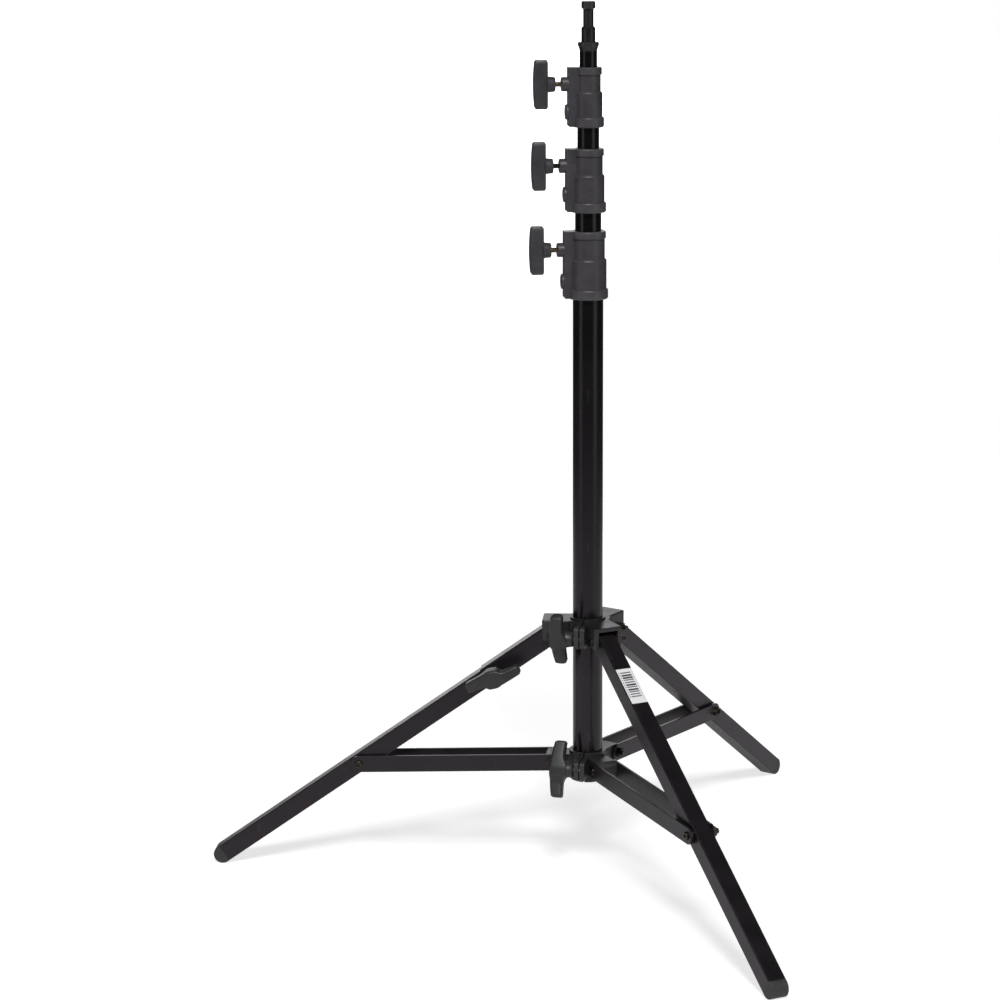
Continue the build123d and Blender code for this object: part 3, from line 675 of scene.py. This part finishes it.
@dataclass
class TKnob:
    """The wing knob of a riser collar, moulded in one piece on its screw.

    Attributes:
        hub_length: length of the round hub.
        hub_radius: radius of the hub at its open end.
        hub_flare: extra radius where the hub meets the bar.
        bar_length: length of the wing bar.
        bar_width: width of the bar.
        bow: how far the bar's outer face stands out at its middle.
        corner: radius of the bar's long edges.
        narrowing: how much narrower the bar is at its ends.
        end_share: share of the half length that each rounded end takes.
        end_round: how far the ends' edges are rounded in.
        stations: sections along the bar.
        mouth_depth: depth of the countersunk mouth for the screw.
        mouth_radii: radii of the mouth, at its bottom and at the hub's face.
        rim_round: size of the hub's softened rim.
        rim_corner: how far the softening keeps in from the rim's sharp corner, each way.
    """

    hub_length: float = 8.4 * MM
    hub_radius: float = 8.4 * MM
    hub_flare: float = 0.9 * MM
    bar_length: float = 55.0 * MM
    bar_width: float = 13.0 * MM
    bow: float = 1.6 * MM
    corner: float = 1.3 * MM
    narrowing: float = 0.8 * MM
    end_share: float = 0.07
    end_round: float = 1.2 * MM
    stations: int = 25
    mouth_depth: float = 1.4 * MM
    mouth_radii: tuple[float, float] = (3.1 * MM, 4.2 * MM)
    rim_round: float = 0.8 * MM
    rim_corner: float = 0.25 * MM
    screw: ThreadedScrew = field(default_factory=ThreadedScrew)

    def build(self, stand: Stand, name: str, plating: Finish) -> list[bpy.types.Object]:
        """Builds one knob and its screw over their CAD nodes.

        Args:
            stand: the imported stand.
            name: the collar's name.
            plating: the screw's plating.

        Returns:
            The knob and the screw.
        """
        origin, axis = stand.joint_line(f"{name}_knob_turn")
        start, end = stand.span(f"{name}_knob", origin, axis)
        place = axis_frame(origin + axis * start, axis, UP)
        bm = bmesh.new()
        self._bar(bm, end - start)
        self._hub(bm)
        bm.transform(place)
        knob = new_piece(f"{name}_knob_moulding", bm, KNOB_PLASTIC, 40.0)
        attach(knob, f"{name}_knob")
        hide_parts(f"{name}_knob")
        low, high = stand.span(f"{name}_knob_screw", origin, axis)
        screw_place = axis_frame(origin, axis, UP)
        screw = self.screw.build(f"{name}_knob_thread", low, high, screw_place, plating)
        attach(screw, f"{name}_knob")
        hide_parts(f"{name}_knob_screw")
        return [knob, screw]

    def _bar(self, bm: bmesh.types.BMesh, reach: float) -> None:
        """Adds the wing bar: round-edged sections from end to end, thickest in the middle.

        Args:
            bm: the mesh to add to.
            reach: how far the bar's outer face stands from the hub's open end.
        """
        half = self.bar_length / 2
        back = self.hub_length
        rings = []
        for i in range(self.stations):
            share = -1.0 + 2.0 * i / (self.stations - 1)
            shrink = self.end_round * quarter_round(share, self.end_share)
            front = reach - self.bow * share**2 - shrink
            rear = back + shrink
            width = self.bar_width - 2.0 * shrink - self.narrowing * share**2
            outline = round_rectangle(front - rear, width, self.corner)
            centre = (front + rear) / 2
            rings.append([Vector((centre + x, y, share * half)) for x, y in outline])
        bridge_rings(bm, rings)

    def _hub(self, bm: bmesh.types.BMesh) -> None:
        """Adds the round hub, with a softened rim and a countersunk mouth for the screw.

        Args:
            bm: the mesh to add to.
        """
        rim = self.hub_radius
        overlap = 0.6 * MM
        outline = [
            (self.mouth_depth, self.mouth_radii[0]),
            (0.0, self.mouth_radii[1]),
            (0.0, rim - self.rim_round),
            (self.rim_corner, rim - self.rim_corner),
            (self.rim_round, rim),
            (self.hub_length * 0.7, rim + self.hub_flare * 0.45),
            (self.hub_length * 0.92, rim + self.hub_flare * 0.8),
            (self.hub_length + overlap, rim + self.hub_flare * 1.1),
        ]
        bridge_rings(bm, spun(outline))


@dataclass
class Collars:
    """Three die-cast clamp collars with their knobs, screws and pressure pads.

    Attributes:
        names: the collars' names, from the lowest up.
        black_screw: the collar whose knob screw is plated black.
        knob: the knob that each collar has.
    """

    names: tuple[str, ...] = ("lower", "middle", "upper")
    black_screw: str = "middle"
    knob: TKnob = field(default_factory=TKnob)

    def build(self, stand: Stand) -> list[bpy.types.Object]:
        """Builds the knobs of all collars.

        Args:
            stand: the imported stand.

        Returns:
            The new pieces.
        """
        made = []
        for name in self.names:
            plating = BLACK_BOLT if name == self.black_screw else ZINC
            made.extend(self.knob.build(stand, name, plating))
        return made

    def dress(self, stand: Stand) -> None:
        """Gives the collars' nodes their finishes.

        Args:
            stand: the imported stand.
        """
        for name in self.names:
            stand.dress(CAST_BLACK, f"{name}_collar", f"{name}_collar_screw")
            stand.dress(KNOB_PLASTIC, f"{name}_knob")
            stand.dress(ZINC, f"{name}_knob_screw")
            stand.dress(BRASS, f"{name}_pressure_pad")


@dataclass
class THandle:
    """The two-winged clamp handle of a hub or of the leveling leg.

    Attributes:
        half_length: from the middle to a wing's tip.
        neck_start: where the neck begins, along the screw from the clamp's face.
        wing_start: where the wings' inner faces are.
        bow: where the middle of the outer face is.
        tip: where the outer face is at the tips.
        hub_radius: radius of the round middle.
        wing_half_width: half the width of a wing.
        waist: distance from the middle line to a wing's hollow edge at its narrowest.
        middle_reach: how far along the wings the round middle fades out.
        throat: how much further in the moulding reaches at its middle.
        flare: how far the wings' inner faces lean in at the tips.
        flare_from: where along a wing that lean begins, as a share of its length.
        corner: radius of the wings' long edges.
        end_share: share of the half length that each rounded tip takes.
        end_round: how far the tips' edges are rounded in.
        stations: sections along the wings.
        neck_radii: radii of the neck, from the screw's hole to the wings.
    """

    half_length: float = 33.5 * MM
    neck_start: float = 2.0 * MM
    wing_start: float = 13.0 * MM
    bow: float = 29.6 * MM
    tip: float = 25.8 * MM
    hub_radius: float = 11.2 * MM
    wing_half_width: float = 5.7 * MM
    waist: float = 4.6 * MM
    middle_reach: float = 10.5 * MM
    throat: float = 4.6 * MM
    flare: float = 0.8 * MM
    flare_from: float = 0.6
    corner: float = 3.2 * MM
    end_share: float = 0.06
    end_round: float = 1.6 * MM
    stations: int = 41
    neck_radii: tuple[float, ...] = (3.2 * MM, 4.4 * MM, 7.6 * MM, 8.4 * MM, 9.2 * MM, 10.4 * MM)

    def build(self, stand: Stand, node: str, joint: str, turn: float) -> bpy.types.Object:
        """Builds one handle over its CAD node.

        Args:
            stand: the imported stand.
            node: the CAD node that it stands for, which is also its body's name.
            joint: the hinge that it turns on.
            turn: how far it is turned about its screw, in degrees.

        Returns:
            The handle.
        """
        origin, axis = stand.joint_line(joint)
        start, _ = stand.span(node, origin, axis)
        face = origin + axis * (start - self.neck_start)
        place = axis_frame(face, axis, UP, turn)
        bm = bmesh.new()
        self._wings(bm)
        bm.transform(place)
        handle = new_piece(f"{node}_moulding", bm, HANDLE_PLASTIC, 50.0)
        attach(handle, node)
        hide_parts(node)
        return handle

    def _wings(self, bm: bmesh.types.BMesh) -> None:
        """Adds the whole moulding as sections from one wing's tip to the other's, and the neck.

        Args:
            bm: the mesh to add to.
        """
        rings = []
        for i in range(self.stations):
            share = -1.0 + 2.0 * i / (self.stations - 1)
            along = share * self.half_length
            shrink = self.end_round * quarter_round(share, self.end_share)
            middle = math.exp(-((along / self.middle_reach) ** 4))
            straight = self.hub_radius + (self.wing_half_width - self.hub_radius) * abs(share)
            flared = self.waist + (self.wing_half_width - self.waist) * abs(share)
            hollow = flared + (self.hub_radius - flared) * middle
            half_width = (straight + hollow) / 2
            lean = math.copysign((straight - hollow) / 2, share)
            front = self.bow - (self.bow - self.tip) * share**2 - shrink
            outer = max(0.0, abs(share) - self.flare_from) / (1.0 - self.flare_from)
            rear = self.wing_start - self.flare * outer - self.throat * middle + shrink
            outline = round_rectangle(front - rear, 2 * half_width - 2 * shrink, self.corner, 6)
            centre = (front + rear) / 2
            rings.append([Vector((centre + x, y + lean, along)) for x, y in outline])
        bridge_rings(bm, rings)
        neck_stations = (
            self.neck_start + 1.2 * MM,
            self.neck_start,
            self.neck_start,
            self.neck_start + 0.7 * MM,
            self.wing_start - 5.0 * MM,
            self.wing_start - 1.0 * MM,
        )
        bridge_rings(bm, spun(zip(neck_stations, self.neck_radii)))


@dataclass
class Hubs:
    """The two sliding hubs with their clamps, pivot bolts, nuts and washers.

    Attributes:
        upper_turn: how far the upper hub's handle is turned about its screw, in degrees.
        lower_turn: the same for the lower hub's handle, clear of the folded brace.
        handle: the moulding that both share.
    """

    upper_turn: float = -22.0
    lower_turn: float = 22.0
    handle: THandle = field(default_factory=THandle)

    def build(self, stand: Stand) -> list[bpy.types.Object]:
        """Builds the hub handles.

        Args:
            stand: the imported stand.

        Returns:
            The new pieces.
        """
        made = []
        for name, turn in (("upper", self.upper_turn), ("lower", self.lower_turn)):
            made.append(self.handle.build(stand, f"{name}_hub_handle", f"{name}_handle_turn", turn))
        return made

    def dress(self, stand: Stand) -> None:
        """Gives the hubs' nodes their finishes.

        Args:
            stand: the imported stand.
        """
        for name in ("upper", "lower"):
            stand.dress(HUB_BLACK, f"{name}_hub")
            stand.dress(HANDLE_PLASTIC, f"{name}_hub_handle")
            stand.dress(ZINC, f"{name}_hub_screw")
            stand.dress(BLACK_BOLT, f"{name}_hub_nut", f"{name}_pivot_bolts")
            stand.dress(BLACK_BOLT, f"{name}_pivot_nuts")
        stand.dress(GUIDE_PLASTIC, "upper_pivot_washers")


@dataclass
class BarLabel:
    """The paper label on the front leg: plain bars and ticks, with no lettering.

    Attributes:
        first: where the first bar is, as a share of the label's length.
        pitch: distance between bars.
        bar_reach: length of the bars across the leg.
        bar_width: width of a pale bar.
        heavy_width: width of a dark bar.
        heavy: which bars are dark.
        tick_reach: length of the short ticks beside the bars.
        edge: distance from the label's middle line to the ticks.
        line_width: width of the thin line down the other side.
        lift: how far the ink stands off the paper.
    """

    first: float = 0.1
    pitch: float = 3.5 * MM
    bar_reach: float = 12.8 * MM
    bar_width: float = 1.7 * MM
    heavy_width: float = 2.4 * MM
    heavy: tuple[int, ...] = (1, 2, 5, 7)
    tick_reach: float = 1.2 * MM
    edge: float = 8.2 * MM
    line_width: float = 0.24 * MM
    lift: float = 0.03 * MM

    def build(self, stand: Stand) -> list[bpy.types.Object]:
        """Prints the bars on the label's outer face.

        Args:
            stand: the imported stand.

        Returns:
            The dark print and the pale print, each one thin piece.
        """
        pivot, hinge = stand.joint_line("front_leg_hinge")
        low_corner, high_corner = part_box("front_foot_cap")
        foot = Vector(low_corner + high_corner) / 2
        bearing = math.radians(Leg.FRONT.value)
        outward = Vector((math.cos(bearing), math.sin(bearing), 0))
        down = (foot - pivot) - hinge * (foot - pivot).dot(hinge)
        down.normalize()
        normal = hinge.cross(down)
        if normal.dot(outward) < 0:
            normal = -normal
        low, high = stand.span("label", pivot, down)
        left, right = stand.span("label", pivot, hinge)
        _, face = stand.span("label", pivot, normal)
        centre = pivot + hinge * ((left + right) / 2)
        made = []
        for name, dark, finish in (("label_bars", True, INK), ("label_ticks", False, PALE_INK)):
            bm = bmesh.new()
            for offset, width, reach, side in self._marks(high - low, dark):
                corner = centre + down * (low + offset) + hinge * side + normal * face
                self._strip(bm, corner, down * width, hinge * reach, normal * self.lift)
            printed = new_piece(name, bm, finish)
            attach(printed, "front_leg")
            made.append(printed)
        return made

    def _marks(self, length: float, dark: bool) -> list[tuple[float, float, float, float]]:
        """Works out a plain run of bars with ticks on one side and a thin line on the other.

        Args:
            length: the label's length.
            dark: whether the dark marks are wanted, or the pale ones.

        Returns:
            For each mark, its start, its width, its reach across and its middle across.
        """
        start = self.first * length
        count = int((length - 2 * start) / self.pitch)
        marks = []
        for number in range(count):
            along = start + number * self.pitch
            heavy = number in self.heavy
            if heavy == dark:
                width = self.heavy_width if heavy else self.bar_width
                marks.append((along, width, self.bar_reach, 0.0))
            if not dark:
                marks.append((along, self.bar_width, self.tick_reach, -self.edge))
        if not dark:
            marks.append((start, length - 2 * start, self.line_width, self.edge))
        return marks

    @staticmethod
    def _strip(
        bm: bmesh.types.BMesh, start: Vector, along: Vector, across: Vector, up: Vector
    ) -> None:
        """Adds one thin printed strip.

        Args:
            bm: the mesh to add to.
            start: the middle of the strip's near edge, on the paper.
            along: the strip's whole extent along the leg.
            across: its whole extent across the leg.
            up: its whole thickness, out of the paper.
        """
        corners = []
        for level in (0, 1):
            for s, t in ((0, -0.5), (0, 0.5), (1, 0.5), (1, -0.5)):
                corners.append(bm.verts.new(start + along * s + across * t + up * level))
        top, bottom = (4, 5, 6, 7), (3, 2, 1, 0)
        sides = ((0, 1, 5, 4), (1, 2, 6, 5), (2, 3, 7, 6), (3, 0, 4, 7))
        for side in (bottom, top, *sides):
            bm.faces.new([corners[i] for i in side])


@dataclass
class Legs:
    """The legs, their feet, the leveling leg's clamp and the front leg's label.

    Attributes:
        handle_turn: how far the leveling leg's handle is turned about its screw, in degrees.
        handle: the handle's moulding.
        label: the print on the front leg's label.
    """

    handle_turn: float = 112.4
    handle: THandle = field(default_factory=THandle)
    label: BarLabel = field(default_factory=BarLabel)

    def build(self, stand: Stand) -> list[bpy.types.Object]:
        """Builds the leveling leg's handle and the label's print.

        Args:
            stand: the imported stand.

        Returns:
            The new pieces.
        """
        handle = self.handle.build(stand, "leg_handle", "leg_handle_turn", self.handle_turn)
        return [handle, *self.label.build(stand)]

    def dress(self, stand: Stand) -> None:
        """Gives the legs' nodes their finishes.

        Args:
            stand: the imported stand.
        """
        for leg in Leg:
            stand.dress(LEG_BLACK, f"{leg.label}_leg_tube")
            stand.dress(FOOT_PLASTIC, f"{leg.label}_foot_cap")
            stand.dress(BLACK_BOLT, f"{leg.label}_leg_bushing")
        stand.dress(LEG_BLACK, "leveling_leg_sleeve")
        stand.dress(HANDLE_PLASTIC, "leg_handle")
        stand.dress(ZINC, "leg_screw")
        stand.dress(PAPER, "label")


@dataclass
class Braces:
    """Three pairs of flat bars and the bolts at their outer ends."""

    def dress(self, stand: Stand) -> None:
        """Gives the braces' nodes their finishes.

        Args:
            stand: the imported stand.
        """
        for leg in Leg:
            stand.dress(BRACE_BLACK, f"{leg.label}_brace_left_bar", f"{leg.label}_brace_right_bar")
            stand.dress(BLACK_BOLT, f"{leg.label}_brace_bolt")


# --- studio ---------------------------------------------------------------------------------------


@dataclass
class Camera:
    """The view of the stand: from a little above, with a long lens.

    Attributes:
        distance: from the column's axis, along the floor.
        height: above the floor.
        bearing: how far the camera stands round from -Y, in degrees.
        yaw: how far it looks aside from the column, in degrees.
        pitch: how far it looks down, in degrees.
        roll: how far it leans, in degrees.
        lens: focal length in millimetres.
        frame_width: width of the camera's frame in millimetres.
        farthest: how far the camera sees.
    """

    distance: float = 3.2651
    height: float = 1.1964
    bearing: float = 3.02
    yaw: float = -1.799
    pitch: float = 12.8
    roll: float = -0.337
    lens: float = 103.24
    frame_width: float = 36.0
    farthest: float = 200.0

    def build(self) -> bpy.types.Object:
        """Builds the camera and makes it the scene's.

        Returns:
            The camera.
        """
        yaw, pitch, roll = (math.radians(v) for v in (self.yaw, self.pitch, self.roll))
        forward = Vector(
            (math.cos(pitch) * math.sin(yaw), math.cos(pitch) * math.cos(yaw), -math.sin(pitch))
        )
        level = Vector((math.cos(yaw), -math.sin(yaw), 0.0))
        upright = level.cross(forward)
        right = level * math.cos(roll) + upright * math.sin(roll)
        up = upright * math.cos(roll) - level * math.sin(roll)
        data = bpy.data.cameras.new("studio_camera")
        data.lens = self.lens
        data.sensor_width = self.frame_width
        data.clip_end = self.farthest
        camera = bpy.data.objects.new("studio_camera", data)
        bpy.context.scene.collection.objects.link(camera)
        basis = Matrix((right, up, -forward)).transposed().to_4x4()
        place = Matrix.Translation(Vector((0.0, -self.distance, self.height))) @ basis
        camera.matrix_world = Matrix.Rotation(math.radians(self.bearing), 4, "Z") @ place
        bpy.context.scene.camera = camera
        return camera


@dataclass
class Softbox:
    """One rectangular soft lamp.

    Attributes:
        name: the lamp's name.
        position: where it stands.
        target: what it faces.
        size: its width and height.
        brightness: its surface brightness, with the floor's white as 1.
    """

    name: str
    position: tuple[float, float, float]
    target: tuple[float, float, float]
    size: tuple[float, float]
    brightness: float

    def build(self) -> None:
        """Builds the lamp."""
        data = bpy.data.lights.new(self.name, "AREA")
        data.shape = "RECTANGLE"
        data.size, data.size_y = self.size
        data.energy = self.brightness * math.pi * self.size[0] * self.size[1]
        lamp = bpy.data.objects.new(self.name, data)
        bpy.context.scene.collection.objects.link(lamp)
        lamp.location = self.position
        lamp.rotation_mode = "QUATERNION"
        away = Vector(self.position) - Vector(self.target)
        lamp.rotation_quaternion = away.to_track_quat("Z", "Y")


@dataclass
class Studio:
    """A round white floor, a pale surround and soft lamps.

    Attributes:
        floor_radius: the floor's radius.
        floor_glow: light that the floor gives by itself, as seen.
        floor_return: the same, as it lights the stand.
        floor_white: how much light the floor returns.
        ambient: brightness of the surround as it lights the stand.
        backdrop: brightness of the pale backdrop behind the stand, low over the floor.
        backdrop_toward: direction of the backdrop's middle.
        backdrop_fade: cosines of the angles where the backdrop ends and is at its full.
        key_strength: irradiance of the key light.
        key_spread: width of the key light, in degrees.
        key_height: height of the key light above the horizon, in degrees.
        key_bearing: where the key light stands round from -Y, in degrees.
        lamps: the soft lamps.
    """

    floor_radius: float = 1.75
    floor_glow: float = 0.735
    floor_return: float = 0.35
    floor_white: float = 0.47
    ambient: float = 0.04
    backdrop: float = 2.2
    backdrop_toward: tuple[float, float, float] = (-0.14, 0.984, 0.105)
    backdrop_fade: tuple[float, float] = (0.945, 0.985)
    key_strength: float = 2.4
    key_spread: float = 13.0
    key_height: float = 50.0
    key_bearing: float = 6.0
    lamps: tuple[Softbox, ...] = (
        Softbox("left_softbox", (-1.95, -1.45, 1.0), (0.0, 0.0, 0.45), (0.85, 2.2), 0.75),
        Softbox("right_softbox", (2.05, -1.2, 1.0), (0.0, 0.0, 0.45), (1.15, 2.2), 0.7),
    )

    def build(self) -> None:
        """Builds the floor, the surround and the lamps."""
        self._floor()
        self._surround()
        self._key()
        for lamp in self.lamps:
            lamp.build()

    def _floor(self) -> None:
        """Builds the floor and its plain white material."""
        bm = bmesh.new()
        bmesh.ops.create_circle(bm, cap_ends=True, segments=128, radius=self.floor_radius)
        mesh = bpy.data.meshes.new("studio_floor")
        bm.to_mesh(mesh)
        bm.free()
        floor = bpy.data.objects.new("studio_floor", mesh)
        bpy.context.scene.collection.objects.link(floor)
        material = bpy.data.materials.new("studio_white")
        material.use_nodes = True
        shader = material.node_tree.nodes["Principled BSDF"]
        shader.inputs["Base Color"].default_value = (self.floor_white,) * 3 + (1.0,)
        shader.inputs["Roughness"].default_value = 1.0
        shader.inputs["Specular IOR Level"].default_value = 0.0
        shader.inputs["Emission Color"].default_value = (1.0, 1.0, 1.0, 1.0)
        tree = material.node_tree
        path = tree.nodes.new("ShaderNodeLightPath")
        glow = tree.nodes.new("ShaderNodeMapRange")
        glow.inputs["To Min"].default_value = self.floor_return
        glow.inputs["To Max"].default_value = self.floor_glow
        tree.links.new(path.outputs["Is Camera Ray"], glow.inputs["Value"])
        tree.links.new(glow.outputs[0], shader.inputs["Emission Strength"])
        mesh.materials.append(material)

    def _surround(self) -> None:
        """Sets the surround: plain white to look at, dim to light with, paler low behind."""
        scene = bpy.context.scene
        scene.view_settings.view_transform = "Standard"
        world = bpy.data.worlds.new("studio_surround")
        world.use_nodes = True
        tree = world.node_tree
        background = tree.nodes["Background"]
        background.inputs["Color"].default_value = (1.0, 1.0, 1.0, 1.0)
        direction = tree.nodes.new("ShaderNodeTexCoord").outputs["Generated"]
        facing = tree.nodes.new("ShaderNodeVectorMath")
        facing.operation = "DOT_PRODUCT"
        facing.inputs[1].default_value = self.backdrop_toward
        tree.links.new(direction, facing.inputs[0])
        fade = tree.nodes.new("ShaderNodeMapRange")
        fade.interpolation_type = "SMOOTHSTEP"
        fade.inputs["From Min"].default_value = self.backdrop_fade[0]
        fade.inputs["From Max"].default_value = self.backdrop_fade[1]
        fade.inputs["To Min"].default_value = self.ambient
        fade.inputs["To Max"].default_value = self.backdrop
        tree.links.new(facing.outputs["Value"], fade.inputs["Value"])
        path = tree.nodes.new("ShaderNodeLightPath")
        brightest = tree.nodes.new("ShaderNodeMath")
        brightest.operation = "MAXIMUM"
        tree.links.new(path.outputs["Is Camera Ray"], brightest.inputs[0])
        tree.links.new(fade.outputs[0], brightest.inputs[1])
        tree.links.new(brightest.outputs[0], background.inputs["Strength"])
        scene.world = world

    def _key(self) -> None:
        """Adds the broad key light."""
        data = bpy.data.lights.new("key_light", "SUN")
        data.energy = self.key_strength
        data.angle = math.radians(self.key_spread)
        lamp = bpy.data.objects.new("key_light", data)
        bpy.context.scene.collection.objects.link(lamp)
        height = math.radians(self.key_height)
        bearing = math.radians(self.key_bearing)
        level = math.cos(height)
        toward = Vector(
            (math.sin(bearing) * level, -math.cos(bearing) * level, math.sin(height))
        )
        lamp.rotation_mode = "QUATERNION"
        lamp.rotation_quaternion = toward.to_track_quat("Z", "Y")


def main() -> None:
    """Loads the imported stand, builds and dresses each sub-assembly, and sets up the studio."""
    logging.basicConfig(level=logging.INFO, format="%(name)s: %(message)s")
    stand = Stand(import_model())
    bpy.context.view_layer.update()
    column, collars, hubs, legs, braces = Column(), Collars(), Hubs(), Legs(), Braces()
    for part in (column, collars, hubs, legs, braces):
        part.dress(stand)
        LOG.info("dressed %s", type(part).__name__)
    for part in (collars, hubs, legs):
        for piece in part.build(stand):
            LOG.info("built %s with %d faces", piece.name, len(piece.data.polygons))
    Studio().build()
    Camera().build()


if __name__ == "__main__":
    main()
